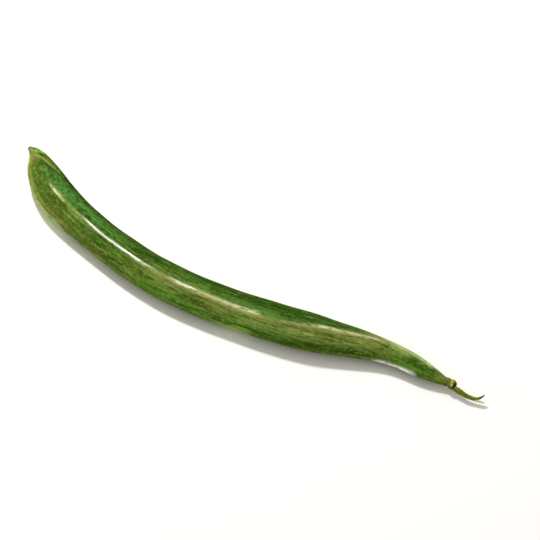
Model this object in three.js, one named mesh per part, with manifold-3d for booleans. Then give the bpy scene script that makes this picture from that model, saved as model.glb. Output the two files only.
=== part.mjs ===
// A long bean pod as picked: the pod, the dry calyx at its stem end and the thin
// stalk it hung from, torn off at its tip. Millimetres, +Z up. The pod lies on its
// broad side on the plane z = 0, with its blossom end towards -X and its stem end
// towards +X. The two seams that join its halves run along its two edges.

import Module from "manifold-3d";
import * as THREE from "three";
import { LoftGeometry } from "three/addons/geometries/LoftGeometry.js";
import { mergeVertices } from "three/addons/utils/BufferGeometryUtils.js";

const wasm = await Module();
wasm.setup();

// ---- Driving dimensions ------------------------------------------------------

// The pod from above, as control points of a smooth curve from the blossom end
// to the neck: [x, y, half of the pod's width].
const POD_STATIONS = [
  [-120, 11.5, 1.2],
  [-114.5, 10.6, 3.2],
  [-103.5, 2.5, 7.6],
  [-84.5, -7, 9.2],
  [-56.5, -11, 7.8],
  [-18.5, -14, 9],
  [17.5, -6, 8.5],
  [47.5, 3, 9.6],
  [75.5, 16.5, 4.7],
  [92, 17, 4.6],
  [103.5, 18.3, 1.8],
];
const THICKNESS_RATIO = 0.72; // height of a section over its width
const END_LIFT = 0.45; // 0: thin stretches lie on the table, 1: level with the axis
const REST_DEPTH = 0.4; // how deep the belly is flattened where it lies down

// A seam is a low raised lip along the pod's edge. It fades out where the pod is
// narrow, between these two half widths.
const SEAM_HEIGHT = 0.35;
const SEAM_HALF_WIDTH = 0.9;
const SEAM_GONE = 1;
const SEAM_FULL = 6;

// The seeds swell the pod's two faces a little, between two points of its length.
const SEED_COUNT = 9;
const SEED_SWELL = 0.25;
const FIRST_SEED = 0.2;
const LAST_SEED = 0.8;

// The dry tip of the style, at the blossom end.
const BEAK_LENGTH = 0.7;
const BEAK_SCALE = 0.5;

// Calyx: a dry knob past the end of the neck, with a waist that parts its narrow
// ring from its belly: [radius, distance from the neck's end].
const GAP = 0.3; // between pieces that meet
const CALYX_END = 4.4;
const CALYX_OUTLINE = [
  [0, GAP],
  [1.5, GAP],
  [1.7, 0.6],
  [1.7, 1.1],
  [1.6, 1.5],
  [1.9, 2.1],
  [2.05, 2.7],
  [1.95, 3.4],
  [1.6, 4],
  [1.1, CALYX_END],
  [0, CALYX_END],
];
const CALYX_SHIFT = 0.25; // how far it sits to the left of the neck's middle, and above it

// Stalk, as control points from the calyx to its tip: [x, y, z, radius], with x
// counted from the neck's end. Its tip curls up, and a thin strip of it is torn off.
const STALK_POINTS = [
  [CALYX_END + GAP, -0.3, -0.1, 1.05],
  [8, -0.6, -0.3, 1],
  [11, -0.5, -0.6, 0.9],
  [13.6, 0.2, -0.9, 0.7],
  [15.1, 1.6, -0.4, 0.5],
  [16.3, 2.8, 1.2, 0.25],
];
const STRIP_POINTS = [
  [12.6, -0.3, -0.8, 0.4],
  [14, -0.1, -0.9, 0.45],
  [15.6, 0.5, -1, 0.4],
  [17.6, 1.2, -1.2, 0.2],
];
const STEM_TURN = THREE.MathUtils.degToRad(-5); // from the neck's direction

const POD_RINGS = 84;
const POD_SIDES = 32;
const CALYX_SIDES = 24;
const STALK_RINGS = 14;
const STALK_SIDES = 12;

const POD_GREEN = new THREE.MeshStandardMaterial({
  color: 0x557228,
  roughness: 0.4,
  metalness: 0,
});
const CALYX_OLIVE = new THREE.MeshStandardMaterial({
  color: 0x66602a,
  roughness: 0.8,
  metalness: 0,
});
const STALK_GREEN = new THREE.MeshStandardMaterial({
  color: 0x6c7426,
  roughness: 0.6,
  metalness: 0,
});

// ---- Curves ------------------------------------------------------------------

// A point of the uniform cubic B-spline over the control points, for u from 0 to
// 1. The curve starts on the first control point and ends on the last.
function bSpline(controls, u) {
  const last = controls.length - 1;
  const beyond = (end, next) => end.map((value, k) => 2 * value - next[k]);
  const points = [
    beyond(controls[0], controls[1]),
    ...controls,
    beyond(controls[last], controls[last - 1]),
  ];
  const span = Math.min(Math.floor(u * last), last - 1);
  const t = u * last - span;
  const weights = [
    (1 - t) ** 3,
    3 * t ** 3 - 6 * t ** 2 + 4,
    -3 * t ** 3 + 3 * t ** 2 + 3 * t + 1,
    t ** 3,
  ];
  return controls[0].map((_, k) =>
    weights.reduce((sum, weight, i) => sum + weight * points[span + i][k], 0) / 6,
  );
}

const WIDEST = Math.max(
  ...Array.from({ length: POD_RINGS }, (_, i) => bSpline(POD_STATIONS, i / POD_RINGS)[2]),
);

// The pod's axis at u: its place, the level directions along and across it, and
// half of the section's width and thickness.
function podAxis(u) {
  const [x, y, halfWidth] = bSpline(POD_STATIONS, u);
  const step = 1e-3;
  const before = bSpline(POD_STATIONS, Math.max(u - step, 0));
  const after = bSpline(POD_STATIONS, Math.min(u + step, 1));
  const along = new THREE.Vector3(after[0] - before[0], after[1] - before[1], 0);
  along.normalize();
  const across = new THREE.Vector3(-along.y, along.x, 0);
  const halfThickness = THICKNESS_RATIO * halfWidth;
  const rise = END_LIFT * (THICKNESS_RATIO * WIDEST - halfThickness);
  const centre = new THREE.Vector3(x, y, halfThickness + rise - REST_DEPTH);
  return { centre, along, across, halfWidth, halfThickness };
}

// ---- Pod ---------------------------------------------------------------------

// How far the faces swell over the seeds at u.
function seedSwell(u) {
  const place = (u - FIRST_SEED) / (LAST_SEED - FIRST_SEED);
  if (place < 0 || place > 1) return 0;
  return (SEED_SWELL * (1 - Math.cos(2 * Math.PI * SEED_COUNT * place))) / 2;
}

// Angles around a section, closer together at the seams than on the faces.
function sectionAngle(index) {
  const even = (2 * Math.PI * index) / POD_SIDES;
  return even - 0.3 * Math.sin(2 * even);
}

// One ring of the pod: an oval with a lip at each seam, flat where it lies down.
function podSection(u, scale = 1, shift = 0) {
  const { centre, along, across, halfWidth, halfThickness } = podAxis(u);
  const lip = SEAM_HEIGHT * THREE.MathUtils.smoothstep(halfWidth, SEAM_GONE, SEAM_FULL);
  const middle = centre.clone().addScaledVector(along, shift);
  return Array.from({ length: POD_SIDES }, (_, i) => {
    const angle = sectionAngle(i);
    const up = (halfThickness + seedSwell(u)) * Math.sin(angle) * scale;
    const side = Math.cos(angle);
    const seam = lip * Math.exp(-((up / SEAM_HALF_WIDTH) ** 2));
    const out = (halfWidth * side + seam * Math.sign(side)) * scale;
    const point = middle.clone().addScaledVector(across, out);
    point.z = Math.max(point.z + up, 0);
    return point;
  });
}

function makePod() {
  const beak = podSection(0, BEAK_SCALE, -BEAK_LENGTH);
  const rings = Array.from({ length: POD_RINGS + 1 }, (_, i) => podSection(i / POD_RINGS));
  const geometry = new LoftGeometry([beak, ...rings], { capStart: true, capEnd: true });
  const pod = new THREE.Mesh(geometry, POD_GREEN);
  pod.name = "pod";
  return pod;
}

// ---- Calyx and stalk, in a frame with +X straight out of the neck --------------

function makeCalyx() {
  const outline = CALYX_OUTLINE.map(([radius, far]) => new THREE.Vector2(radius, far));
  const calyx = new THREE.Mesh(new THREE.LatheGeometry(outline, CALYX_SIDES), CALYX_OLIVE);
  calyx.rotation.z = -Math.PI / 2;
  calyx.position.set(0, CALYX_SHIFT, CALYX_SHIFT);
  calyx.name = "calyx";
  return calyx;
}

// A closed round tube along a smooth curve through control points [x, y, z, radius].
function tube(controls) {
  const rings = Array.from({ length: STALK_RINGS + 1 }, (_, i) => {
    const u = i / STALK_RINGS;
    const step = 1e-3;
    const [x, y, z, radius] = bSpline(controls, u);
    const ahead = new THREE.Vector3(...bSpline(controls, Math.min(u + step, 1)));
    const behind = new THREE.Vector3(...bSpline(controls, Math.max(u - step, 0)));
    const along = ahead.sub(behind).normalize();
    const left = new THREE.Vector3(-along.y, along.x, 0).normalize();
    const top = along.clone().cross(left);
    return Array.from({ length: STALK_SIDES }, (_, k) => {
      const angle = (2 * Math.PI * k) / STALK_SIDES;
      const point = new THREE.Vector3(x, y, z).addScaledVector(left, radius * Math.cos(angle));
      return point.addScaledVector(top, radius * Math.sin(angle));
    });
  });
  return new LoftGeometry(rings, { capStart: true, capEnd: true });
}

// A closed geometry as a solid that can be joined to another.
function toSolid(geometry) {
  const bare = new THREE.BufferGeometry();
  bare.setAttribute("position", geometry.getAttribute("position"));
  bare.setIndex(geometry.getIndex());
  const merged = mergeVertices(bare);
  return new wasm.Manifold(
    new wasm.Mesh({
      numProp: 3,
      vertProperties: new Float32Array(merged.attributes.position.array),
      triVerts: new Uint32Array(merged.index.array),
    }),
  );
}

function makeStalk() {
  const joined = toSolid(tube(STALK_POINTS)).add(toSolid(tube(STRIP_POINTS))).getMesh();
  const geometry = new THREE.BufferGeometry();
  geometry.setAttribute("position", new THREE.BufferAttribute(joined.vertProperties, 3));
  geometry.setIndex(new THREE.BufferAttribute(joined.triVerts, 1));
  geometry.computeVertexNormals();
  const stalk = new THREE.Mesh(geometry, STALK_GREEN);
  stalk.name = "stalk";
  return stalk;
}

// ---- Assembly ----------------------------------------------------------------

const neck = podAxis(1);
const stemEnd = new THREE.Group();
stemEnd.add(makeCalyx(), makeStalk());
stemEnd.position.copy(neck.centre);
stemEnd.rotation.z = Math.atan2(neck.along.y, neck.along.x) + STEM_TURN;

const group = new THREE.Group();
group.add(makePod(), stemEnd);

export default group;
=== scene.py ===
"""A long bean pod as picked, lying on a pale table under a soft studio light.

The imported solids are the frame. Finer pieces of the same size stand for the pod, its
calyx and its stalk, and each has its own finish. Metres, +Z up, +X from the blossom
end to the stem end.
"""

import logging
import math
from dataclasses import dataclass, field
from enum import Enum
from functools import lru_cache

import bmesh
import bpy
from mathutils import Matrix, Vector, noise


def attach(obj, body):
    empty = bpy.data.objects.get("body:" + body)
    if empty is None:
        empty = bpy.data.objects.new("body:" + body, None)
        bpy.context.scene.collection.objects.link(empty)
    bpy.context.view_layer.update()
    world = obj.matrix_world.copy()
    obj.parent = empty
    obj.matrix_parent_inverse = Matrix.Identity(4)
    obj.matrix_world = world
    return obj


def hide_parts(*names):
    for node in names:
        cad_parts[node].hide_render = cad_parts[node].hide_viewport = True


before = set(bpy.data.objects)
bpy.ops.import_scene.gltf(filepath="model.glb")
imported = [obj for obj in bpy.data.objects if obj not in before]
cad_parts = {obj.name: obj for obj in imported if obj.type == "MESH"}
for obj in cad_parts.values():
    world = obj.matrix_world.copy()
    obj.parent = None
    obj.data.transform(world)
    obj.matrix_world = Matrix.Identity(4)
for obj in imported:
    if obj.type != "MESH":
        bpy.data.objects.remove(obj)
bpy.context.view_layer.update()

MM = 0.001
ROOT = "root"
LOG = logging.getLogger("bean_pod")

Colour = tuple[float, float, float, float]
Points = tuple[tuple[float, float], ...]
Controls = tuple[tuple[float, ...], ...]
Span = tuple[float, float]

SLOPE_STEP = 0.001  # of a curve's length, for reading its direction
MERGE_DISTANCE = 1e-6
PATCH_CORE = 0.35  # the share of a patch's reach within which it is full


# ---- Numbers and colours -------------------------------------------------------


def smooth(low: float, high: float, value: float) -> float:
    """A smooth step from 0 at low to 1 at high."""
    share = min(max((value - low) / (high - low), 0.0), 1.0)
    return share * share * (3.0 - 2.0 * share)


def bell(distance: float, half_width: float) -> float:
    """A bell curve: 1 at no distance, and about a third at half_width."""
    return math.exp(-((distance / half_width) ** 2))


def turn_between(start: float, end: float) -> float:
    """The shorter turn from one angle to another, in degrees from -180 to 180."""
    return (end - start + 180.0) % 360.0 - 180.0


def colour(red: int, green: int, blue: int) -> Colour:
    """Turns a screen colour into the linear colour that shaders take.

    Args:
        red: From 0 to 255.
        green: From 0 to 255.
        blue: From 0 to 255.

    Returns:
        Linear red, green and blue, and an alpha of 1.
    """
    shares = [channel / 255.0 for channel in (red, green, blue)]
    linear = [c / 12.92 if c <= 0.04045 else ((c + 0.055) / 1.055) ** 2.4 for c in shares]
    return (linear[0], linear[1], linear[2], 1.0)


@lru_cache(maxsize=20000)
def along_curve(points: Points, place: float) -> float:
    """A smooth curve's value at a place, level before its first point and after its last.

    Args:
        points: The curve's points, as pairs of place and value.
        place: Where to read it.

    Returns:
        The value there.
    """
    if place <= points[0][0]:
        return points[0][1]
    if place >= points[-1][0]:
        return points[-1][1]
    k = max(i for i, point in enumerate(points) if point[0] <= place)
    width = points[k + 1][0] - points[k][0]
    t = (place - points[k][0]) / width

    def slope(i: int) -> float:
        """The curve's slope at its point i."""
        first, last = points[max(i - 1, 0)], points[min(i + 1, len(points) - 1)]
        return (last[1] - first[1]) / (last[0] - first[0])

    return (
        (2 * t**3 - 3 * t**2 + 1) * points[k][1]
        + (t**3 - 2 * t**2 + t) * slope(k) * width
        + (3 * t**2 - 2 * t**3) * points[k + 1][1]
        + (t**3 - t**2) * slope(k + 1) * width
    )


def b_spline(controls: Controls, u: float) -> tuple[float, ...]:
    """A point of the uniform cubic B-spline that starts and ends on its control points.

    Args:
        controls: The control points, with any number of coordinates.
        u: The place along the curve, from 0 to 1.

    Returns:
        The point's coordinates.
    """
    before = tuple(2 * a - b for a, b in zip(controls[0], controls[1]))
    after = tuple(2 * a - b for a, b in zip(controls[-1], controls[-2]))
    points = (before, *controls, after)
    spans = len(controls) - 1
    span = min(int(u * spans), spans - 1)
    t = u * spans - span
    weights = ((1 - t) ** 3, 3 * t**3 - 6 * t**2 + 4, -3 * t**3 + 3 * t**2 + 3 * t + 1, t**3)
    return tuple(
        sum(weight * points[span + i][k] for i, weight in enumerate(weights)) / 6
        for k in range(len(controls[0]))
    )


def heading(controls: Controls, u: float, axes: int) -> Vector:
    """The direction of a B-spline at u.

    Args:
        controls: The control points.
        u: The place along the curve, from 0 to 1.
        axes: How many of the first coordinates are a place: 2 for a level curve, or 3.

    Returns:
        The unit vector.
    """
    behind = b_spline(controls, max(u - SLOPE_STEP, 0.0))
    ahead = b_spline(controls, min(u + SLOPE_STEP, 1.0))
    return Vector([a - b for a, b in zip(ahead, behind)][:axes]).to_3d().normalized()


# ---- Shader nodes --------------------------------------------------------------

MIX_FACTOR, MIX_A, MIX_B, MIX_RESULT = 0, 6, 7, 2


class Shading:
    """Adds nodes to the tree of a material or of a node group and joins them."""

    def __init__(self, tree: bpy.types.NodeTree) -> None:
        """Keeps the tree that the nodes go into."""
        self.tree = tree

    def feed(self, socket: bpy.types.NodeSocket, value: object) -> None:
        """Gives a socket a plain value or a link.

        Args:
            socket: The input socket.
            value: An output socket or a plain value.
        """
        if isinstance(value, bpy.types.NodeSocket):
            self.tree.links.new(value, socket)
        else:
            socket.default_value = value

    def add(self, kind: str, inputs: dict | None = None, **settings: object) -> bpy.types.Node:
        """Adds one node.

        Args:
            kind: The node's type.
            inputs: What goes into its sockets, by name or number.
            **settings: The node's own properties.

        Returns:
            The node.
        """
        node = self.tree.nodes.new(kind)
        for name, value in settings.items():
            setattr(node, name, value)
        for key, value in (inputs or {}).items():
            self.feed(node.inputs[key], value)
        return node

    def attribute(self, name: str, output: str = "Fac") -> bpy.types.NodeSocket:
        """The socket of one of the piece's attributes: Fac for a number, or Vector."""
        return self.add("ShaderNodeAttribute", attribute_name=name).outputs[output]

    def mix(self, amount: object, low: object, high: object) -> bpy.types.NodeSocket:
        """The socket of a mix of two colours: low at an amount of 0, high at 1."""
        inputs = {MIX_FACTOR: amount, MIX_A: low, MIX_B: high}
        return self.add("ShaderNodeMix", inputs, data_type="RGBA").outputs[MIX_RESULT]

    def times(self, first: object, second: object) -> bpy.types.NodeSocket:
        """Multiplies two masks.

        Args:
            first: A number from 0 to 1, or its socket.
            second: Another one.

        Returns:
            The result's socket.
        """
        inputs = {0: first, 1: second}
        node = self.add("ShaderNodeMath", inputs, operation="MULTIPLY", use_clamp=True)
        return node.outputs[0]

    def paint(self, tint: object, marks: tuple, mask: object = 1.0) -> bpy.types.NodeSocket:
        """Lays the tints of marks over a colour, each where its attribute and a mask let it.

        Args:
            tint: The colour under them.
            marks: The stripes or patches, in the order in which they are laid.
            mask: What roughens their edges.

        Returns:
            The painted colour's socket.
        """
        for mark in marks:
            tint = self.mix(self.times(self.attribute(mark.name), mask), tint, mark.tint)
        return tint

    def scaled(self, value: object, low: float, high: float) -> bpy.types.NodeSocket:
        """The socket of a mask from 0 to 1 that is stretched onto low to high."""
        inputs = {"Value": value, "To Min": low, "To Max": high}
        return self.add("ShaderNodeMapRange", inputs).outputs["Result"]

    def group(self, tree: bpy.types.NodeTree, **inputs: object) -> bpy.types.NodeSocket:
        """Places a node group and gives its first output.

        Args:
            tree: The group.
            **inputs: What goes into its sockets, by name.

        Returns:
            The first output socket.
        """
        node = self.add("ShaderNodeGroup", node_tree=tree)
        for name, value in inputs.items():
            self.feed(node.inputs[name], value)
        return node.outputs[0]


class Effects:
    """The effects that more than one finish uses, each a node group that gives a mask."""

    def __init__(self) -> None:
        """Builds the groups."""
        self.fibres = self._fibres()
        self.flecks = self._flecks()

    @staticmethod
    def _start(name: str, numbers: tuple[str, ...]) -> tuple[Shading, bpy.types.Node]:
        """Starts a group with a Place input, some number inputs and a Mask output.

        Args:
            name: The group's name.
            numbers: The names of its number inputs.

        Returns:
            What adds its nodes, and its input node.
        """
        tree = bpy.data.node_groups.new(name, "ShaderNodeTree")
        tree.interface.new_socket("Place", in_out="INPUT", socket_type="NodeSocketVector")
        for number in numbers:
            tree.interface.new_socket(number, in_out="INPUT", socket_type="NodeSocketFloat")
        tree.interface.new_socket("Mask", in_out="OUTPUT", socket_type="NodeSocketFloat")
        nodes = Shading(tree)
        return nodes, nodes.add("NodeGroupInput")

    @staticmethod
    def _finish(nodes: Shading, inputs: dict) -> bpy.types.NodeTree:
        """Turns a pattern into the group's mask by a smooth step.

        Args:
            nodes: What adds the group's nodes.
            inputs: What goes into the step.

        Returns:
            The finished group.
        """
        mask = nodes.add("ShaderNodeMapRange", inputs, interpolation_type="SMOOTHSTEP")
        nodes.add("NodeGroupOutput", {"Mask": mask.outputs["Result"]})
        return nodes.tree

    def _fibres(self) -> bpy.types.NodeTree:
        """Streaks of a given length and width, where a noise passes from Low to High.

        Returns:
            The group.
        """
        numbers = ("Length", "Width", "Low", "High", "Strength", "Seed")
        nodes, given = self._start("fibre_mask", numbers)
        value = given.outputs
        size = nodes.add(
            "ShaderNodeCombineXYZ", {"X": value["Length"], "Y": value["Width"], "Z": value["Width"]}
        )
        place = nodes.add(
            "ShaderNodeVectorMath", {0: value["Place"], 1: size.outputs[0]}, operation="DIVIDE"
        )
        pattern = nodes.add(
            "ShaderNodeTexNoise",
            {"Vector": place.outputs[0], "W": value["Seed"], "Scale": 1.0, "Detail": 2.0},
            noise_dimensions="4D",
        )
        step = {"From Min": value["Low"], "From Max": value["High"], "To Max": value["Strength"]}
        return self._finish(nodes, {"Value": pattern.outputs["Fac"]} | step)

    def _flecks(self) -> bpy.types.NodeTree:
        """Scattered spots, Spacing apart and up to Size of that across.

        Returns:
            The group.
        """
        nodes, given = self._start("fleck_mask", ("Spacing", "Size", "Strength"))
        value = given.outputs
        place = nodes.add(
            "ShaderNodeVectorMath", {0: value["Place"], 1: value["Spacing"]}, operation="DIVIDE"
        )
        spots = nodes.add("ShaderNodeTexVoronoi", {"Vector": place.outputs[0], "Scale": 1.0})
        step = {"From Min": value["Size"], "From Max": 0.0, "To Max": value["Strength"]}
        return self._finish(nodes, {"Value": spots.outputs["Distance"]} | step)


# ---- Bands, lines and patches of the skin ----------------------------------------


@dataclass(frozen=True)
class Stripe:
    """A band or a line along the skin, as angles and strengths at places u."""

    name: str
    tint: Colour
    half_width: float
    path: Points
    strength: Points
    relief: float = 0.0

    def away(self, u: float, degrees: float, girth: float) -> float:
        """The distance round the section from the line, less than 0 on the far seam's side."""
        return math.radians(turn_between(along_curve(self.path, u), degrees)) * girth

    def shade(self, u: float, away: float) -> float:
        """How strongly the line shows at u and at a distance from it."""
        return along_curve(self.strength, u) * bell(away, self.half_width)


@dataclass(frozen=True)
class Patch:
    """An oval patch of colour round a place and an angle, soft towards its edge."""

    name: str
    tint: Colour
    place: float
    degrees: float
    reach: float
    spread: float
    strength: float = 1.0

    def shade(self, place: float, degrees: float) -> float:
        """How strongly the patch shows at a place and an angle.

        Args:
            place: The place along the piece.
            degrees: The angle round it.

        Returns:
            A number from 0 to the patch's strength.
        """
        along = (place - self.place) / self.reach
        turn = turn_between(self.degrees, degrees) / self.spread
        return self.strength * smooth(1.0, PATCH_CORE, math.hypot(along, turn))


# Painted shade: a dark band on the far side of the crest over the middle of the pod.
FAR_PAINTED_SHADE = Stripe(
    "far_painted_shade",
    colour(26, 42, 2),
    3.3 * MM,
    path=((0.4, 45), (0.45, 58), (0.55, 54), (0.6, 62), (0.67, 68), (0.73, 62), (0.79, 40)),
    strength=(
        (0.41, 0), (0.45, 0.45), (0.49, 0.45), (0.55, 0.7), (0.6, 0.65), (0.65, 0.6), (0.7, 0.55),
        (0.75, 0.4), (0.79, 0),
    ),
)
# Painted shade: a dark band above the near seam towards the stem end, where the side turns from the
# light.
NEAR_PAINTED_SHADE = Stripe(
    "near_painted_shade",
    colour(22, 52, 0),
    1.7 * MM,
    path=((0.6, 188), (0.66, 176), (0.7, 165), (0.75, 163), (0.8, 158), (0.88, 146)),
    strength=((0.61, 0), (0.66, 0.55), (0.7, 0.7), (0.75, 0.15), (0.78, 0)),
)
# Painted light: a pale olive band below the crest, the lit upper part of the near face.
UNDER_CREST_PAINTED_LIGHT = Stripe(
    "under_crest_painted_light",
    colour(162, 170, 86),
    3.0 * MM,
    path=((0.4, 112), (0.52, 116), (0.62, 122), (0.7, 122), (0.76, 110), (0.82, 93), (0.84, 88)),
    strength=(
        (0.45, 0), (0.5, 0.5), (0.6, 0.75), (0.65, 0.4), (0.7, 0.9), (0.765, 0.7), (0.8, 0.4),
        (0.825, 0.6), (0.84, 0),
    ),
)
# Painted light: a pale green band along the far edge near the stem end.
END_PAINTED_LIGHT = Stripe(
    "end_painted_light",
    colour(184, 208, 126),
    1.95 * MM,
    path=((0.76, 44), (0.8, 55), (0.84, 61), (0.88, 55), (0.92, 52), (0.95, 47), (1, 46)),
    strength=((0.75, 0), (0.79, 0.7), (0.82, 0.95), (0.87, 1), (0.92, 1), (0.96, 0.25), (1, 0)),
)
FAR_EDGE = Stripe(
    "far_edge",
    colour(34, 52, 8),
    3.4 * MM,
    path=((0.12, -2), (0.2, 4), (0.24, 28), (0.34, 36), (0.5, 30), (0.8, 30)),
    strength=((0.12, 0), (0.16, 0.5), (0.22, 0.7), (0.26, 1), (0.34, 0.9), (0.44, 0.5), (0.5, 0)),
)
# Partly painted light: the near seam's pale lime, brightened into a painted rim light along the near
# edge.
NEAR_EDGE_RIM_LIGHT = Stripe(
    "near_edge_rim_light",
    colour(214, 250, 142),
    2.8 * MM,
    path=((0.1, 182), (0.2, 188), (0.3, 196), (0.45, 204), (0.65, 206)),
    strength=(
        (0.12, 0), (0.16, 0.3), (0.22, 0.4), (0.25, 0.9), (0.33, 1), (0.35, 0.35), (0.4, 0.3),
        (0.43, 0), (0.57, 0), (0.605, 0.6), (0.63, 0),
    ),
)
# Painted highlight: a near-white line along the near seam towards the stem end.
END_RIM_HIGHLIGHT = Stripe(
    "end_rim_highlight",
    colour(252, 255, 240),
    1.0 * MM,
    path=((0.78, 187), (0.82, 184), (0.85, 181), (0.91, 177)),
    strength=((0.79, 0), (0.81, 0.8), (0.84, 1), (0.89, 1), (0.91, 0)),
)
# Painted highlight: a thin pale line along the far edge near the stem end.
END_LINE_HIGHLIGHT = Stripe(
    "end_line_highlight",
    colour(206, 224, 150),
    0.45 * MM,
    path=((0.8, 66), (0.84, 62), (0.88, 60), (0.94, 57)),
    strength=((0.8, 0), (0.82, 0.3), (0.88, 0.35), (0.91, 0.85), (0.925, 0.8), (0.945, 0)),
)
# A dim painted highlight: a tan line on the crest where its white highlight fades.
CREST_TAN_HIGHLIGHT = Stripe(
    "crest_tan_highlight",
    colour(170, 162, 98),
    0.7 * MM,
    path=((0.5, 107), (0.56, 110), (0.62, 114), (0.67, 112), (0.72, 97), (0.76, 90), (0.8, 75)),
    strength=(
        (0.47, 0), (0.52, 0.7), (0.6, 0.9), (0.63, 0.5), (0.655, 0.1), (0.7, 0.6), (0.8, 0.95),
        (0.815, 0),
    ),
)
# Painted highlight: a near-white line along the crest, over the coat's own shine. Its path also places
# the ridge, the wax and the far side.
CREST_HIGHLIGHT = Stripe(
    "crest",
    colour(242, 243, 214),
    0.36 * MM,
    path=(
        (0.2, 98), (0.3, 97), (0.36, 98), (0.4, 101), (0.48, 103), (0.55, 105), (0.62, 109),
        (0.66, 111), (0.69, 102), (0.72, 93), (0.76, 87), (0.79, 76), (0.8, 73), (0.86, 58),
        (0.94, 40),
    ),
    strength=(
        (0.32, 0), (0.35, 0.05), (0.375, 0.4), (0.395, 0.9), (0.43, 1), (0.455, 0.7), (0.47, 1),
        (0.49, 0.2), (0.51, 0.15), (0.52, 1), (0.54, 0.9), (0.56, 0.35), (0.6, 0.8), (0.625, 0.7),
        (0.635, 0), (0.66, 0.1), (0.7, 0.2), (0.715, 0.75), (0.74, 0.4), (0.79, 0.25), (0.8, 0),
    ),
)
NEAR_RIM = Stripe(
    "near_rim",
    colour(150, 142, 70),
    0.7 * MM,
    path=((0.1, 112), (0.14, 120), (0.17, 136), (0.22, 150), (0.27, 155), (0.36, 158)),
    strength=((0.09, 0), (0.13, 0.5), (0.2, 0.7), (0.32, 0.85), (0.38, 0.3), (0.44, 0)),
    relief=0.12 * MM,
)
FAR_RIM = Stripe(
    "far_rim",
    colour(146, 146, 78),
    0.6 * MM,
    path=((0.1, 116), (0.13, 100), (0.155, 80), (0.18, 68), (0.21, 57), (0.25, 44)),
    strength=((0.1, 0), (0.135, 0.9), (0.19, 0.9), (0.22, 0.5), (0.26, 0)),
    relief=0.12 * MM,
)
FACE_EDGE = Stripe(
    "face_edge",
    colour(44, 70, 18),
    1.4 * MM,
    path=((0.15, 106), (0.17, 88), (0.2, 72), (0.23, 64), (0.28, 54)),
    strength=((0.156, 0), (0.174, 0.9), (0.21, 0.95), (0.25, 0.4), (0.28, 0)),
)

# The painted light bands and the patches lie under the fibres, and the painted shades and
# the lines, several of them painted highlights, over them, each laid in the order listed.
PAINTED_LIGHT_BANDS = (UNDER_CREST_PAINTED_LIGHT, END_PAINTED_LIGHT)
PAINTED_SHADES = (FAR_PAINTED_SHADE, NEAR_PAINTED_SHADE)
LINES = (FACE_EDGE, FAR_EDGE, NEAR_EDGE_RIM_LIGHT, END_RIM_HIGHLIGHT, END_LINE_HIGHLIGHT, NEAR_RIM, FAR_RIM, CREST_TAN_HIGHLIGHT, CREST_HIGHLIGHT)
PATCHES = (
    Patch("emerald", colour(86, 150, 65), 0.315, 70.0, 0.13, 36.0, 0.8),
    Patch("near_bright", colour(104, 160, 48), 0.57, 168.0, 0.15, 40.0, 0.85),
    Patch("near_light", colour(130, 164, 80), 0.66, 138.0, 0.1, 24.0, 0.55),
    Patch("near_lime", colour(178, 200, 112), 0.215, 158.0, 0.06, 22.0, 0.5),
    Patch("far_olive", colour(98, 106, 14), 0.18, 36.0, 0.07, 40.0),
    Patch("tip_straw", colour(208, 214, 140), 0.06, 116.0, 0.055, 44.0, 0.9),
    Patch("tip_ring", colour(154, 152, 78), 0.148, 108.0, 0.042, 36.0, 0.75),
    Patch("tip_green", colour(164, 244, 92), 0.09, 62.0, 0.044, 48.0),
    Patch("tip_pale", colour(230, 238, 146), 0.13, 166.0, 0.065, 48.0, 0.9),
    Patch("tip_olive", colour(122, 134, 14), 0.165, 142.0, 0.03, 13.0, 0.8),
    Patch("tip_spot", colour(16, 22, 0), 0.135, 70.0, 0.022, 16.0),
    Patch("crest_green", colour(92, 168, 72), 0.648, 101.0, 0.028, 11.0, 0.9),
    Patch("crest_near", colour(150, 168, 90), 0.377, 116.0, 0.036, 12.0, 0.75),
    # Painted shadow: a narrow dark line beside the crest on its far side.
    Patch("crest_far_painted_shadow", colour(16, 66, 0), 0.36, 86.0, 0.027, 11.0),
    Patch("under_blotch", colour(38, 66, 10), 0.3, 118.0, 0.048, 12.0, 0.9),
    # A dim painted highlight joining the start of the crest's highlight to its line.
    Patch("crest_link_highlight", colour(190, 198, 112), 0.35, 99.5, 0.05, 7.0, 0.9),
    # Painted highlight where the crest's highlight line starts.
    Patch("crest_start_highlight", colour(240, 247, 180), 0.293, 98.7, 0.038, 7.5),
    Patch("crest_straw", colour(182, 182, 108), 0.75, 100.0, 0.03, 13.0, 0.7),
    Patch("mint", colour(206, 240, 160), 0.621, 104.0, 0.015, 9.0),
    Patch("lime_spot", colour(160, 214, 70), 0.614, 176.0, 0.018, 16.0),
    Patch("end_green", colour(58, 132, 14), 0.885, 138.0, 0.09, 32.0, 0.9),
    Patch("end_dark", colour(22, 68, 0), 0.918, 95.0, 0.08, 36.0),
)
FRESH = ("emerald", "near_bright", "end_dark", "end_green")  # have few olive streaks


# ---- Finishes -------------------------------------------------------------------


def new_surface(name: str) -> tuple[bpy.types.Material, Shading, bpy.types.Node]:
    """Starts a material with one Principled shader.

    Args:
        name: The material's name.

    Returns:
        The material, what adds its nodes, and its shader.
    """
    material = bpy.data.materials.new(name)
    material.use_nodes = True
    material.node_tree.nodes.clear()
    nodes = Shading(material.node_tree)
    shader = nodes.add("ShaderNodeBsdfPrincipled")
    nodes.add("ShaderNodeOutputMaterial", {"Surface": shader.outputs[0]})
    return material, nodes, shader


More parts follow.
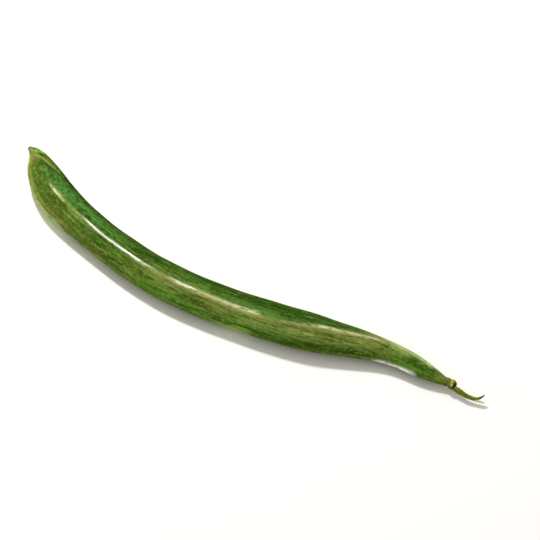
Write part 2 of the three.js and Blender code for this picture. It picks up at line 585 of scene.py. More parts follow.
@dataclass(frozen=True)
class Fibres:
    """One layer of streaks along the pod: their size in millimetres and where they show."""

    length: float
    width: float
    low: float
    high: float
    strength: float
    seed: float

    def mask(
        self, nodes: Shading, tree: bpy.types.NodeTree, place: bpy.types.NodeSocket
    ) -> bpy.types.NodeSocket:
        """Places the layer in a material.

        Args:
            nodes: What adds the material's nodes.
            tree: The fibre group.
            place: The socket with the piece's straightened coordinates.

        Returns:
            The socket with the layer's mask.
        """
        return nodes.group(
            tree,
            Place=place,
            Length=self.length * MM,
            Width=self.width * MM,
            Low=self.low,
            High=self.high,
            Strength=self.strength,
            Seed=self.seed,
        )


@dataclass(frozen=True)
class Layer(Fibres):
    """Streaks of one colour on each side of the crest, shown where a mask lets them."""

    near: Colour
    far: Colour
    guide: str = "vivid"


@dataclass(frozen=True)
class Finish:
    """What every finish has: how rough it is, how it shines and how deep its grain goes."""

    roughness: Span = (0.5, 0.75)
    specular: float = 0.1
    bump_strength: float = 0.6
    bump_depth: float = 0.1 * MM

    def dress(
        self,
        nodes: Shading,
        shader: bpy.types.Node,
        tint: bpy.types.NodeSocket,
        height: bpy.types.NodeSocket,
        rough: bpy.types.NodeSocket,
    ) -> None:
        """Gives the shader its colour, roughness, shine and relief.

        Args:
            nodes: What adds the material's nodes.
            shader: Its shader.
            tint: The colour.
            height: The mask that raises the surface.
            rough: The mask that roughens it.
        """
        inputs = {"Height": height, "Strength": self.bump_strength, "Distance": self.bump_depth}
        bump = nodes.add("ShaderNodeBump", inputs)
        nodes.feed(shader.inputs["Base Color"], tint)
        nodes.feed(shader.inputs["Roughness"], nodes.scaled(rough, *self.roughness))
        nodes.feed(shader.inputs["Specular IOR Level"], self.specular)
        nodes.feed(shader.inputs["Normal"], bump.outputs[0])


@dataclass(frozen=True)
class SkinFinish(Finish):
    """Fresh green skin with lengthwise fibres, pale rims, waxy shine, painted highlights and shade."""

    near_side: Colour = colour(76, 104, 24)
    far_side: Colour = colour(64, 104, 28)
    layers: tuple[Layer, ...] = (
        Layer(20.0, 4.0, 0.42, 0.62, 0.6, 0.0, colour(94, 98, 28), colour(84, 98, 26), "olive"),
        Layer(14.0, 2.6, 0.44, 0.64, 0.6, 3.0, colour(48, 98, 22), colour(42, 96, 24)),
        Layer(13.0, 1.1, 0.42, 0.66, 0.8, 7.0, colour(36, 60, 8), colour(34, 62, 10), "combed"),
        Layer(12.0, 1.0, 0.46, 0.7, 0.75, 11.0, colour(126, 148, 66), colour(108, 144, 62), "combed"),
        Layer(2.9, 1.6, 0.42, 0.64, 0.8, 41.0, colour(44, 70, 12), colour(30, 66, 16), "mottled"),
        Layer(2.7, 1.5, 0.46, 0.68, 0.75, 43.0, colour(118, 142, 64), colour(96, 152, 70), "mottled"),
        Layer(1.8, 0.9, 0.4, 0.72, 0.5, 17.0, colour(36, 58, 8), colour(34, 60, 10)),
        Layer(1.6, 0.9, 0.44, 0.76, 0.5, 23.0, colour(130, 156, 76), colour(110, 150, 70)),
    )
    ragged: Fibres = Fibres(3.0, 0.7, 0.3, 0.52, 1.0, 29.0)
    blotched: Fibres = Fibres(3.0, 1.6, 0.26, 0.5, 1.0, 37.0)
    neck: Colour = colour(124, 140, 46)
    scar: Colour = colour(84, 80, 58)
    tip: Colour = colour(150, 152, 106)
    fleck: Colour = colour(40, 52, 14)
    fleck_spacing: float = 2.2 * MM
    fleck_size: float = 0.16
    fleck_strength: float = 0.7
    grain: Fibres = Fibres(3.0, 0.4, 0.3, 0.7, 1.0, 31.0)
    specular: float = 0.0
    coat_roughness: float = 0.12
    bump_strength: float = 0.5
    bump_depth: float = 0.12 * MM

    def make(self, effects: Effects) -> bpy.types.Material:
        """Builds the material.

        Args:
            effects: The shared effects.

        Returns:
            The material.
        """
        material, nodes, shader = new_surface("skin")
        place = nodes.attribute("straight", "Vector")
        far_side = nodes.attribute("far_side")
        blotched = self.blotched.mask(nodes, effects.fibres, place)
        ragged = self.ragged.mask(nodes, effects.fibres, place)
        grain = self.grain.mask(nodes, effects.fibres, place)
        tint = nodes.mix(far_side, self.near_side, self.far_side)
        # Painted light: pale bands below the crest and along the far edge.
        tint = nodes.paint(tint, PAINTED_LIGHT_BANDS)
        tint = nodes.paint(tint, PATCHES, blotched)
        tint = nodes.mix(nodes.attribute("neck"), tint, self.neck)
        for layer in self.layers:
            mask = layer.mask(nodes, effects.fibres, place)
            amount = nodes.times(mask, nodes.attribute(layer.guide))
            tint = nodes.mix(amount, tint, nodes.mix(far_side, layer.near, layer.far))
        # Painted shade on both sides of the crest.
        tint = nodes.paint(tint, PAINTED_SHADES, blotched)
        # Lines, among them painted highlights and a painted rim light.
        tint = nodes.paint(tint, LINES, ragged)
        flecks = nodes.group(
            effects.flecks,
            Place=place,
            Spacing=self.fleck_spacing,
            Size=self.fleck_size,
            Strength=self.fleck_strength,
        )
        tint = nodes.mix(flecks, tint, self.fleck)
        tint = nodes.mix(nodes.attribute("tip"), tint, self.tip)
        tint = nodes.mix(nodes.attribute("scar"), tint, self.scar)
        self.dress(nodes, shader, tint, grain, grain)
        nodes.feed(shader.inputs["Coat Weight"], nodes.attribute("wax"))
        nodes.feed(shader.inputs["Coat Roughness"], self.coat_roughness)
        return material


CALYX_PATCHES = (
    Patch("calyx_green", colour(92, 112, 40), 0.2, 120.0, 1.2, 180.0, 0.7),
    Patch("calyx_dark", colour(30, 38, 12), 0.8, 178.0, 0.9, 36.0),
    Patch("calyx_yellow", colour(190, 170, 4), 2.65, 90.0, 0.75, 34.0),
    Patch("calyx_brown", colour(62, 56, 14), 4.4, 50.0, 0.9, 110.0),
    Patch("calyx_straw", colour(196, 196, 140), 3.2, 128.0, 0.7, 24.0),
    Patch("calyx_black", colour(16, 18, 0), 4.3, 140.0, 0.95, 100.0),
)


@dataclass(frozen=True)
class CalyxFinish(Finish):
    """A dry calyx: olive going yellow on top, and black in patches towards its near side."""

    olive: Colour = colour(124, 130, 50)
    shade: Colour = colour(78, 82, 28)
    veins: Fibres = Fibres(2.4, 0.4, 0.4, 0.62, 0.8, 2.0)
    worn: Fibres = Fibres(0.8, 0.7, 0.3, 0.5, 1.0, 4.0)
    roughness: Span = (0.55, 0.85)
    bump_strength: float = 0.8
    bump_depth: float = 0.15 * MM

    def make(self, effects: Effects) -> bpy.types.Material:
        """Builds the material.

        Args:
            effects: The shared effects.

        Returns:
            The material.
        """
        material, nodes, shader = new_surface("dry_calyx")
        place = nodes.attribute("straight", "Vector")
        veins = self.veins.mask(nodes, effects.fibres, place)
        worn = self.worn.mask(nodes, effects.fibres, place)
        tint = nodes.mix(veins, self.olive, self.shade)
        tint = nodes.paint(tint, CALYX_PATCHES, worn)
        self.dress(nodes, shader, tint, veins, worn)
        return material


@dataclass(frozen=True)
class StalkFinish(Finish):
    """A thin olive stalk, brown where it is torn and pale along the torn strip."""

    olive: Colour = colour(100, 118, 10)
    light: Colour = colour(134, 146, 36)
    shade: Colour = colour(60, 72, 4)
    brown: Colour = colour(96, 80, 22)
    pale: Colour = colour(188, 190, 122)
    streaks: Fibres = Fibres(4.0, 0.35, 0.42, 0.6, 0.8, 5.0)
    glints: Fibres = Fibres(3.0, 0.4, 0.5, 0.66, 0.7, 9.0)

    def make(self, effects: Effects) -> bpy.types.Material:
        """Builds the material.

        Args:
            effects: The shared effects.

        Returns:
            The material.
        """
        material, nodes, shader = new_surface("stalk_skin")
        place = nodes.attribute("straight", "Vector")
        streaks = self.streaks.mask(nodes, effects.fibres, place)
        glints = self.glints.mask(nodes, effects.fibres, place)
        tint = nodes.mix(streaks, self.olive, self.shade)
        tint = nodes.mix(glints, tint, self.light)
        tint = nodes.mix(nodes.attribute("torn"), tint, self.brown)
        tint = nodes.mix(nodes.attribute("strip"), tint, self.pale)
        self.dress(nodes, shader, tint, streaks, streaks)
        return material


# ---- Making pieces -------------------------------------------------------------


class Slot(Enum):
    """The record's material slots."""

    POD_SKIN = "pod_skin"
    CALYX = "calyx"
    STALK = "stalk"


def straight_tube(shape: bmesh.types.BMesh, rings: int, sides: int) -> list[bmesh.types.BMVert]:
    """Adds a closed tube of radius 1 along X from 0 to 1, with a centre point at each end.

    Args:
        shape: Where the tube goes.
        rings: Its divisions along.
        sides: Its divisions round.

    Returns:
        The tube's points. The tube is rolled up from a flat grid.
    """
    others = set(shape.verts)
    bmesh.ops.create_grid(shape, x_segments=rings, y_segments=sides, size=0.5)
    for point in set(shape.verts) - others:
        turn = 2 * math.pi * point.co.y
        point.co = (point.co.x + 0.5, math.cos(turn), math.sin(turn))
    rims = [point for point in shape.verts if point.is_boundary]
    bmesh.ops.remove_doubles(shape, verts=rims, dist=MERGE_DISTANCE)
    mouths = [edge for edge in shape.edges if edge.is_boundary]
    ends = bmesh.ops.holes_fill(shape, edges=mouths, sides=0)["faces"]
    bmesh.ops.poke(shape, faces=ends)
    return [point for point in shape.verts if point not in others]


def as_object(
    name: str, shape: bmesh.types.BMesh, material: bpy.types.Material
) -> bpy.types.Object:
    """Turns a bmesh into an object at the origin.

    Args:
        name: The object's name.
        shape: The bmesh, which is freed.
        material: What it is made of.

    Returns:
        The new object.
    """
    mesh = bpy.data.meshes.new(name)
    shape.to_mesh(mesh)
    shape.free()
    mesh.materials.append(material)
    thing = bpy.data.objects.new(name, mesh)
    bpy.context.collection.objects.link(thing)
    return thing


@dataclass(frozen=True)
class Finished:
    """What a finished shape is called, what it stands for and what it is made of."""

    name: str
    node: str
    slot: Slot
    material: bpy.types.Material

    def piece(self, shape: bmesh.types.BMesh) -> bpy.types.Object:
        """Turns a bmesh into a smooth piece that rides on the root.

        Args:
            shape: The bmesh, which is freed.

        Returns:
            The new object.
        """
        bmesh.ops.recalc_face_normals(shape, faces=shape.faces)
        piece = as_object(self.name, shape, self.material)
        piece.data.shade_smooth()
        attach(piece, ROOT)
        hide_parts(self.node)
        LOG.info("%s: %d faces, stands for %s", self.name, len(piece.data.polygons), self.node)
        return piece


# ---- The pod -------------------------------------------------------------------


@dataclass(frozen=True)
class Axis:
    """A place on the pod's axis, with its directions and the section's half sizes."""

    centre: Vector
    along: Vector
    across: Vector
    half_width: float
    half_thickness: float

    @property
    def girth(self) -> float:
        """The section's mean radius."""
        return math.sqrt(self.half_width * self.half_thickness)


@dataclass(frozen=True)
class PodPlan:
    """The pod's driving dimensions, which its solid has too, in millimetres.

    A place along the pod is a number u from 0, the blossom end, to 1, the neck's end.
    An angle round a section is 0 at the far seam, 90 on top and 180 at the near seam.
    """

    stations: Controls = (
        (-120.0, 11.5, 1.2), (-114.5, 10.6, 3.2), (-103.5, 2.5, 7.6), (-84.5, -7.0, 9.2),
        (-56.5, -11.0, 7.8), (-18.5, -14.0, 9.0), (17.5, -6.0, 8.5), (47.5, 3.0, 9.6),
        (75.5, 16.5, 4.7), (92.0, 17.0, 4.6), (103.5, 18.3, 1.8),
    )
    thickness_ratio: float = 0.72
    end_lift: float = 0.45
    rest_depth: float = 0.4
    widest: float = 8.96  # the largest half width that the stations' curve reaches

    def axis(self, u: float) -> Axis:
        """The pod's axis at u.

        Args:
            u: The place along the pod.

        Returns:
            The axis there, in metres.
        """
        x, y, half_width = b_spline(self.stations, u)
        along = heading(self.stations, u, 2)
        across = Vector((-along.y, along.x, 0.0))
        half_thickness = self.thickness_ratio * half_width
        rise = self.end_lift * (self.thickness_ratio * self.widest - half_thickness)
        centre = Vector((x, y, half_thickness + rise - self.rest_depth)) * MM
        return Axis(centre, along, across, half_width * MM, half_thickness * MM)


@dataclass(frozen=True)
class Ring:
    """One ring of the pod's mesh."""

    u: float
    size: float
    shift: float
    far: float
    axis: Axis


@dataclass(frozen=True)
class SkinMasks:
    """Where each colour and effect of the skin shows. A span runs from none to full."""

    crest_blur: float = 1.0 * MM
    tip_blur: float = 3.0 * MM
    tip_blur_span: Span = (0.36, 0.26)
    far_side_span: Span = (0.6, -1.4)  # in blurs from the crest
    far_side_end: Span = (-14.0 * MM, -9.0 * MM)  # from the crest
    neck_span: Span = (0.955, 0.99)
    neck_slant: float = 0.015
    neck_strength: float = 0.9
    tip_span: Span = (0.05, 0.01)
    tip_strength: float = 0.9
    scar_span: Span = (0.022, 0.008)
    wax_along: Points = (
        (0.33, 0), (0.36, 0.1), (0.4, 0.25), (0.44, 0.3), (0.46, 0.4), (0.49, 0), (0.515, 0),
        (0.53, 0.4), (0.55, 0), (0.6, 0.15), (0.64, 0), (0.715, 0.2), (0.74, 0),
    )
    wax_half_width: float = 0.7 * MM
    vivid_at_tip: float = 0.5
    vivid_span: Span = (0.22, 0.32)
    vivid_loss: float = 0.3  # past the pod's last seeds
    vivid_loss_span: Span = (0.8, 0.88)
    olive_loss: float = 0.8  # in the fresh patches
    mottled_span: Span = (0.12, 0.2)
    mottled_end: Span = (0.34, 0.22)
    mottled_lag: float = 0.1  # how much longer it lasts on the far side
    mottled_strength: float = 0.9
    combed_loss: float = 0.7  # where the skin is mottled

    @staticmethod
    def names() -> list[str]:
        """The names of all the masks."""
        marks = [mark.name for mark in PAINTED_LIGHT_BANDS + PAINTED_SHADES + LINES + PATCHES]
        return marks + ["far_side", "neck", "tip", "scar", "wax", "vivid", "combed", "mottled", "olive"]

    def at(self, u: float, angle: float, girth: float) -> dict[str, float]:
        """How strongly each mask shows at a point of the skin.

        Args:
            u: The place along the pod.
            angle: The angle round the section, in radians.
            girth: The section's mean radius.

        Returns:
            Numbers from 0 to 1, by the masks' names.
        """
        degrees = math.degrees(angle)
        stripes = PAINTED_LIGHT_BANDS + PAINTED_SHADES + LINES
        shades = {s.name: s.shade(u, s.away(u, degrees, girth)) for s in stripes}
        shades |= {patch.name: patch.shade(u, degrees) for patch in PATCHES}
        from_crest = CREST_HIGHLIGHT.away(u, degrees, girth)
        blur = self.crest_blur + self.tip_blur * smooth(*self.tip_blur_span, u)
        far_side = smooth(*self.far_side_span, from_crest / blur)
        far_side *= smooth(*self.far_side_end, from_crest)
        vivid = self.vivid_at_tip + (1.0 - self.vivid_at_tip) * smooth(*self.vivid_span, u)
        vivid *= 1.0 - self.vivid_loss * smooth(*self.vivid_loss_span, u)
        mottled = smooth(*self.mottled_span, u)
        mottled *= smooth(*self.mottled_end, u - self.mottled_lag * far_side)
        slanted = u - self.neck_slant * math.cos(angle)
        return shades | {
            "far_side": far_side,
            "neck": self.neck_strength * smooth(*self.neck_span, slanted),
            "tip": self.tip_strength * smooth(*self.tip_span, u),
            "scar": smooth(*self.scar_span, u),
            "wax": along_curve(self.wax_along, u) * bell(from_crest, self.wax_half_width),
            "vivid": vivid,
            "combed": vivid * (1.0 - self.combed_loss * mottled),
            "mottled": self.mottled_strength * mottled,
            "olive": 1.0 - self.olive_loss * max(shades[name] for name in FRESH),
        }


@dataclass
class PodSkin:
    """The pod's skin, from its dry tip to the neck inside the calyx."""

    plan: PodPlan = field(default_factory=PodPlan)
    masks: SkinMasks = field(default_factory=SkinMasks)
    finish: SkinFinish = field(default_factory=SkinFinish)
    steps: int = 440
    sides: int = 144
    gather: float = 0.3
    tip_rings: Points = (
        (0.5, -0.7 * MM),
        (0.66, -0.62 * MM),
        (0.8, -0.45 * MM),
        (0.92, -0.22 * MM),
    )
    neck_rings: Points = ((0.9, 0.15 * MM), (0.6, 0.25 * MM))
    seam_height: float = 0.35 * MM
    seam_half_width: float = 0.9 * MM
    seam_gone: float = 1.0 * MM
    seam_full: float = 6.0 * MM
    groove_depth: float = 0.16 * MM
    groove_half_width: float = 0.28 * MM
    seed_count: int = 9
    seed_swell: float = 0.25 * MM
    first_seed: float = 0.2
    last_seed: float = 0.8
    fibre_height: float = 0.02 * MM
    fibre_size: Span = (30.0 * MM, 0.9 * MM)  # along and across
    uneven_height: float = 0.16 * MM
    uneven_size: Span = (16.0 * MM, 7.0 * MM)
    uneven_seed: float = 5.0
    full_relief: float = 5.0 * MM  # the half width from which groove and unevenness are full
    ridge_height: float = 0.35 * MM
    ridge_half_width: float = 1.9 * MM
    ridge_start: Span = (0.08, 0.25)
    ridge_end: Span = (0.97, 0.8)

    def build(self, effects: Effects) -> bpy.types.Object:
        """Makes the skin as one closed mesh and dresses it.

        Args:
            effects: The shared effects.

        Returns:
            The piece, with its masks and its straightened coordinates as attributes.
        """
        rings = self._rings()
        tube = bmesh.new()
        straight = tube.verts.layers.float_vector.new("straight")
        layers = {name: tube.verts.layers.float.new(name) for name in self.masks.names()}
        for point in straight_tube(tube, len(rings) - 1, self.sides):
            ring = rings[round(point.co.x * (len(rings) - 1))]
            even = math.atan2(point.co.z, point.co.y) % (2 * math.pi)
            radius = min(math.hypot(point.co.y, point.co.z), 1.0)
            angle = even - self.gather * math.sin(2 * even)
            point.co, point[straight] = self._surface(ring, angle, radius)
            for name, shade in self.masks.at(ring.u, angle, ring.axis.girth).items():
                point[layers[name]] = shade
        material = self.finish.make(effects)
        return Finished("pod_skin", "pod", Slot.POD_SKIN, material).piece(tube)

    def _rings(self) -> list[Ring]:
        """Places the mesh's rings, with those that draw in its two ends.

        Returns:
            The rings, from the blossom end to the neck.
        """
        places = [(0.0, size, shift) for size, shift in self.tip_rings]
        places += [(i / self.steps, 1.0, 0.0) for i in range(self.steps + 1)]
        places += [(1.0, size, shift) for size, shift in self.neck_rings]
        rings: list[Ring] = []
        far = 0.0
        for u, size, shift in places:
            axis = self.plan.axis(u)
            if rings:
                far += (axis.centre - rings[-1].axis.centre).length
            rings.append(Ring(u, size, shift, far, axis))
        return rings

    def _surface(
        self, ring: Ring, angle: float, radius: float
    ) -> tuple[Vector, tuple[float, float, float]]:
        """A point of the skin.

        Args:
            ring: The ring it is on.
            angle: The angle round the section, in radians.
            radius: 1 on the ring and 0 for the point in the middle of an end.

        Returns:
            Its place and its straightened coordinates.
        """
        axis = ring.axis
        out = axis.half_width * math.cos(angle)
        up = axis.half_thickness * math.sin(angle)
        relief = self._relief(ring, angle, out, up)
        leaning = Vector((math.cos(angle) / axis.half_width, math.sin(angle) / axis.half_thickness))
        leaning.normalize()
        size = ring.size * radius
        place = axis.centre + axis.along * ring.shift
        place += axis.across * (size * (out + leaning.x * relief))
        place.z = max(place.z + size * (up + leaning.y * relief), 0.0)
        return place, (ring.far + ring.shift, out * radius, up * radius)

    def _relief(self, ring: Ring, angle: float, out: float, up: float) -> float:
        """How far the skin stands off the section's smooth oval.

        Args:
            ring: The ring it is on.
            angle: The angle round the section, in radians.
            out: The distance across from the axis.
            up: The distance above the axis.

        Returns:
            A height in metres.
        """
        u, axis = ring.u, ring.axis
        degrees = math.degrees(angle)
        fine = min(axis.half_width / self.full_relief, 1.0)
        lip = self.seam_height * smooth(self.seam_gone, self.seam_full, axis.half_width)
        relief = lip * bell(up, self.seam_half_width)
        relief -= self.groove_depth * fine * bell(up, self.groove_half_width)
        fade = smooth(*self.ridge_start, u) * smooth(*self.ridge_end, u)
        from_crest = CREST_HIGHLIGHT.away(u, degrees, axis.girth)
        relief += self.ridge_height * fade * bell(from_crest, self.ridge_half_width)
        for rim in (NEAR_RIM, FAR_RIM):
            relief += rim.relief * rim.shade(u, rim.away(u, degrees, axis.girth))
        relief += self._seeds(u) * abs(math.sin(angle))
        return relief + self._uneven(ring.far, out, up) * fine

    def _seeds(self, u: float) -> float:
        """How far the faces swell over the seeds.

        Args:
            u: The place along the pod.

        Returns:
            A height in metres.
        """
        place = (u - self.first_seed) / (self.last_seed - self.first_seed)
        if not 0.0 < place < 1.0:
            return 0.0
        return self.seed_swell * (1 - math.cos(2 * math.pi * self.seed_count * place)) / 2

    def _uneven(self, far: float, out: float, up: float) -> float:
        """Fibres and slow unevenness of the skin.

        Args:
            far: The distance from the blossom end, in metres.
            out: The distance across from the axis.
            up: The distance above the axis.

        Returns:
            A height in metres.
        """
        along, across = self.fibre_size
        fibre = noise.noise(Vector((far / along, out / across, up / across)))
        along, across = self.uneven_size
        slow = noise.noise(Vector((far / along, out / across, up / across + self.uneven_seed)))
        return self.fibre_height * fibre + self.uneven_height * slow


# ---- The stem end --------------------------------------------------------------


@dataclass(frozen=True)
class StemEnd:
    """Where the calyx and the stalk sit: a frame whose X points out of the neck."""

    neck: Axis
    turn: float = math.radians(-5)

    @property
    def frame(self) -> Matrix:
        """The matrix that brings a shape from the stem end's frame to its place."""
        bearing = math.atan2(self.neck.along.y, self.neck.along.x) + self.turn
        return Matrix.Translation(self.neck.centre) @ Matrix.Rotation(bearing, 4, "Z")


@dataclass
class Calyx:
    """The dry knob at the end of the neck: a withered ring and a belly past its waist."""

    finish: CalyxFinish = field(default_factory=CalyxFinish)
    outline: Controls = (
        (0.4, 0), (0.3, 1.1), (-0.05, 1.45), (-0.25, 1.6), (-0.2, 1.7), (0.2, 1.76), (0.8, 1.74),
        (1.25, 1.66), (1.5, 1.6), (1.8, 1.72), (2.2, 1.95), (2.7, 2.05), (3.2, 1.99), (3.7, 1.78),
        (4.1, 1.42), (4.4, 1.15), (4.45, 0),
    )
    shift: float = 0.25 * MM
    sides: int = 96
    teeth: int = 7
    tooth_length: float = 0.35 * MM
    tooth_span: Span = (0.5 * MM, -0.3 * MM)
    tooth_turn: float = 0.4
    tooth_middle: float = 0.4
    wrinkles: int = 11
    wrinkle_sway: float = 2.0
    wrinkle_height: float = 0.1 * MM
    crumple: float = 1.5
    crumple_size: float = 0.9 * MM
    core: float = 1.0 * MM  # the radius within which the wrinkles flatten out

    def build(self, effects: Effects, stem: StemEnd) -> bpy.types.Object:
        """Makes the calyx and dresses it.

        Args:
            effects: The shared effects.
            stem: Where it sits.

        Returns:
            The piece.
        """
        knob = bmesh.new()
        points = [knob.verts.new((x * MM, y * MM, 0.0)) for x, y in self.outline]
        for first, second in zip(points, points[1:]):
            knob.edges.new((first, second))
        bmesh.ops.subdivide_edges(knob, edges=knob.edges[:], cuts=2)
        bmesh.ops.spin(
            knob,
            geom=knob.verts[:] + knob.edges[:],
            axis=(1.0, 0.0, 0.0),
            cent=(0.0, 0.0, 0.0),
            angle=2 * math.pi,
            steps=self.sides,
            use_merge=True,
        )
        bmesh.ops.remove_doubles(knob, verts=knob.verts, dist=MERGE_DISTANCE)
        straight = knob.verts.layers.float_vector.new("straight")
        masks = {patch.name: knob.verts.layers.float.new(patch.name) for patch in CALYX_PATCHES}
        for point in knob.verts:
            angle = math.atan2(point.co.z, point.co.y)
            point[straight] = tuple(point.co)
            for patch in CALYX_PATCHES:
                point[masks[patch.name]] = patch.shade(point.co.x / MM, math.degrees(angle))
            self._wither(point, angle)
        aside = Matrix.Translation((0.0, self.shift, self.shift))
        bmesh.ops.transform(knob, matrix=stem.frame @ aside, verts=knob.verts)
        material = self.finish.make(effects)
        return Finished("calyx_knob", "calyx", Slot.CALYX, material).piece(knob)

    def _wither(self, point: bmesh.types.BMVert, angle: float) -> None:
        """Pulls a point of the smooth knob into a tooth or a wrinkle.

        Args:
            point: The point.
            angle: Its angle round the knob, in radians.
        """
        rim = smooth(*self.tooth_span, point.co.x)
        tooth = math.cos(self.teeth * angle / 2 + self.tooth_turn) ** 2
        crease = math.sin(self.wrinkles * angle + self.wrinkle_sway * math.sin(2 * angle))
        crease += self.crumple * noise.noise(point.co / self.crumple_size)
        radius = math.hypot(point.co.y, point.co.z)
        grow = 1 + self.wrinkle_height * crease / max(radius, self.core)
        point.co.x -= self.tooth_length * rim * (tooth - self.tooth_middle)
        point.co.y *= grow
        point.co.z *= grow


@dataclass
class Stalk:
    """The thin stalk, torn off at its tip, with a strip peeling away.

    Its control points are [x, y, z, radius] in millimetres, with x counted from the
    neck's end.
    """

    finish: StalkFinish = field(default_factory=StalkFinish)
    main: Controls = (
        (4.1, -0.3, -0.1, 1.08), (8.0, -0.6, -0.3, 1.0), (11.0, -0.5, -0.6, 0.9),
        (13.6, 0.2, -0.9, 0.7), (15.1, 1.6, -0.4, 0.5), (16.3, 2.8, 1.2, 0.25),
    )
    strip: Controls = (
        (12.6, -0.3, -0.8, 0.4), (14.0, -0.1, -0.9, 0.45), (15.6, 0.5, -1.0, 0.4),
        (17.6, 1.2, -1.2, 0.2),
    )
    rings: int = 96
    sides: int = 32
    ribs: int = 5
    rib_height: float = 0.08
    uneven: float = 0.2
    uneven_scale: float = 0.9
    torn_span: Span = (0.66, 0.8)
    torn_ragged: float = 0.06
    ragged_scale: float = 2.2
    ragged_seed: float = 7.0
    strip_span: Span = (0.1, 0.4)

    def build(self, effects: Effects, stem: StemEnd) -> bpy.types.Object:
        """Makes the stalk and dresses it.

        Args:
            effects: The shared effects.
            stem: Where it sits.

        Returns:
            The piece.
        """
        shape = bmesh.new()
        straight = shape.verts.layers.float_vector.new("straight")
        torn = shape.verts.layers.float.new("torn")
        strip = shape.verts.layers.float.new("strip")
        for controls, is_strip in ((self.main, 0.0), (self.strip, 1.0)):
            for point in straight_tube(shape, self.rings, self.sides):
                place = point.co.x
                angle = math.atan2(point.co.z, point.co.y)
                share = math.hypot(point.co.y, point.co.z)
                point.co, radius = self._bent(controls, place, angle, share)
                far = b_spline(controls, place)[0] * MM
                point[straight] = (far, radius * math.cos(angle), radius * math.sin(angle))
                round_it = Vector((math.cos(angle), math.sin(angle), self.ragged_seed))
                ragged = self.torn_ragged * noise.noise(round_it * self.ragged_scale)
                point[torn] = (1.0 - is_strip) * smooth(*self.torn_span, place + ragged)
                point[strip] = is_strip * smooth(*self.strip_span, place)
        bmesh.ops.transform(shape, matrix=stem.frame, verts=shape.verts)
        material = self.finish.make(effects)
        return Finished("stalk_stem", "stalk", Slot.STALK, material).piece(shape)

    def _bent(
        self, controls: Controls, place: float, angle: float, share: float
    ) -> tuple[Vector, float]:
        """A point of a tube along a curve.

        Args:
            controls: The curve's control points.
            place: How far along the curve, from 0 to 1.
            angle: The angle round the tube, in radians.
            share: 1 on the tube and 0 on its axis.

        Returns:
            The point and its distance from the axis, in metres.
        """
        x, y, z, thickness = b_spline(controls, place)
        along = heading(controls, place, 3)
        left = Vector((-along.y, along.x, 0.0)).normalized()
        top = along.cross(left)
        centre = Vector((x, y, z)) * MM
        radius = thickness * share * MM * (1 + self.rib_height * math.cos(self.ribs * angle))
        spot = Vector((x, y + math.cos(angle), z + math.sin(angle)))
        radius *= 1 + self.uneven * noise.noise(spot * self.uneven_scale)
        return centre + (left * math.cos(angle) + top * math.sin(angle)) * radius, radius


# ---- The studio ----------------------------------------------------------------


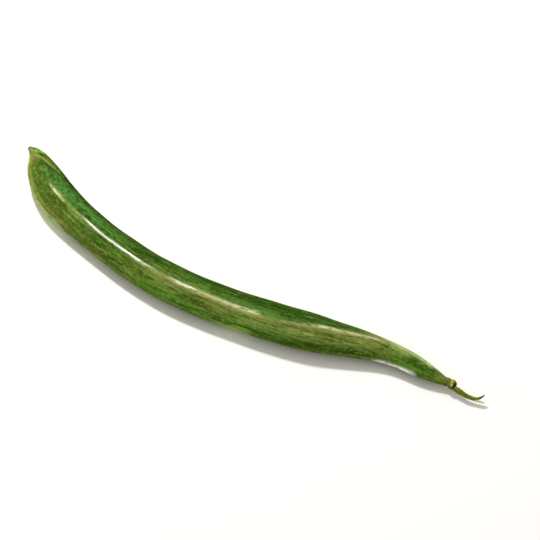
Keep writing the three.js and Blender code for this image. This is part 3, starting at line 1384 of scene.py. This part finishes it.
@dataclass(frozen=True)
class Studio:
    """The pale table, the soft light and the camera."""

    camera_azimuth: float = math.radians(37.86)
    camera_elevation: float = math.radians(50)
    camera_distance: float = 0.645
    aim: tuple[float, float, float] = (0.010, 0.0235, 0.0)
    lens: float = 100.0
    sky: Colour = (1.0, 0.98, 0.945, 1.0)
    sky_strength: float = 0.6
    key_azimuth: float = math.radians(-28)
    key_elevation: float = math.radians(57)
    key_distance: float = 0.9
    key_size: float = 0.12
    key_power: float = 6.2
    floor_colour: Colour = (0.95, 0.925, 0.905, 1.0)
    floor_size: float = 3.0

    def build(self) -> None:
        """Makes the table, the lights and the camera."""
        self._floor()
        self._sky()
        self._key()
        self._camera()
        bpy.context.scene.view_settings.view_transform = "Standard"
        LOG.info("studio: table, sky, key light and camera")

    def _floor(self) -> None:
        """A plain pale table top."""
        shape = bmesh.new()
        bmesh.ops.create_grid(shape, x_segments=4, y_segments=4, size=self.floor_size / 2)
        material, nodes, shader = new_surface("table")
        nodes.feed(shader.inputs["Base Color"], self.floor_colour)
        nodes.feed(shader.inputs["Roughness"], 1.0)
        nodes.feed(shader.inputs["Specular IOR Level"], 0.0)
        top = as_object("table_top", shape, material)

    def _sky(self) -> None:
        """An even soft light from all round."""
        world = bpy.data.worlds.new("sky")
        world.use_nodes = True
        background = world.node_tree.nodes["Background"]
        background.inputs["Color"].default_value = self.sky
        background.inputs["Strength"].default_value = self.sky_strength
        bpy.context.scene.world = world

    def _toward(self, azimuth: float, elevation: float) -> Vector:
        """A direction, by its angles from straight away from the camera and from level.

        Args:
            azimuth: The turn to the right of straight away from the camera.
            elevation: The angle above level.

        Returns:
            The unit vector.
        """
        away = Vector((-math.sin(self.camera_azimuth), math.cos(self.camera_azimuth), 0.0))
        right = Vector((math.cos(self.camera_azimuth), math.sin(self.camera_azimuth), 0.0))
        level = away * math.cos(azimuth) + right * math.sin(azimuth)
        return level * math.cos(elevation) + Vector((0.0, 0.0, math.sin(elevation)))

    def _place(
        self, name: str, data: bpy.types.ID, azimuth: float, elevation: float, distance: float
    ) -> bpy.types.Object:
        """Puts the lamp or the camera in its place, looking at the aim.

        Args:
            name: The object's name.
            data: The light or the camera.
            azimuth: The turn to the right of straight away from the camera.
            elevation: The angle above level.
            distance: How far it stands from the aim.

        Returns:
            The new object.
        """
        thing = bpy.data.objects.new(name, data)
        direction = self._toward(azimuth, elevation)
        thing.location = Vector(self.aim) + direction * distance
        thing.rotation_euler = direction.to_track_quat("Z", "Y").to_euler()
        bpy.context.collection.objects.link(thing)
        return thing

    def _key(self) -> None:
        """A round soft light above the pod, beyond it and to its left from the camera."""
        light = bpy.data.lights.new("key", "AREA")
        light.shape = "DISK"
        light.size = self.key_size
        light.energy = self.key_power
        self._place("key", light, self.key_azimuth, self.key_elevation, self.key_distance)

    def _camera(self) -> None:
        """A long lens from the front right."""
        data = bpy.data.cameras.new("camera")
        data.lens = self.lens
        camera = self._place("camera", data, math.pi, self.camera_elevation, self.camera_distance)
        bpy.context.scene.camera = camera


def write_sizes() -> None:
    """Brings the scene's matrices up to date."""
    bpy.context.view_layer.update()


def main() -> None:
    """Builds the pieces and the studio in order."""
    effects = Effects()
    pod = PodSkin()
    pod.build(effects)
    stem = StemEnd(pod.plan.axis(1.0))
    Calyx().build(effects, stem)
    Stalk().build(effects, stem)
    Studio().build()
    write_sizes()


if __name__ == "__main__":
    logging.basicConfig(level=logging.INFO, format="%(message)s")
    main()
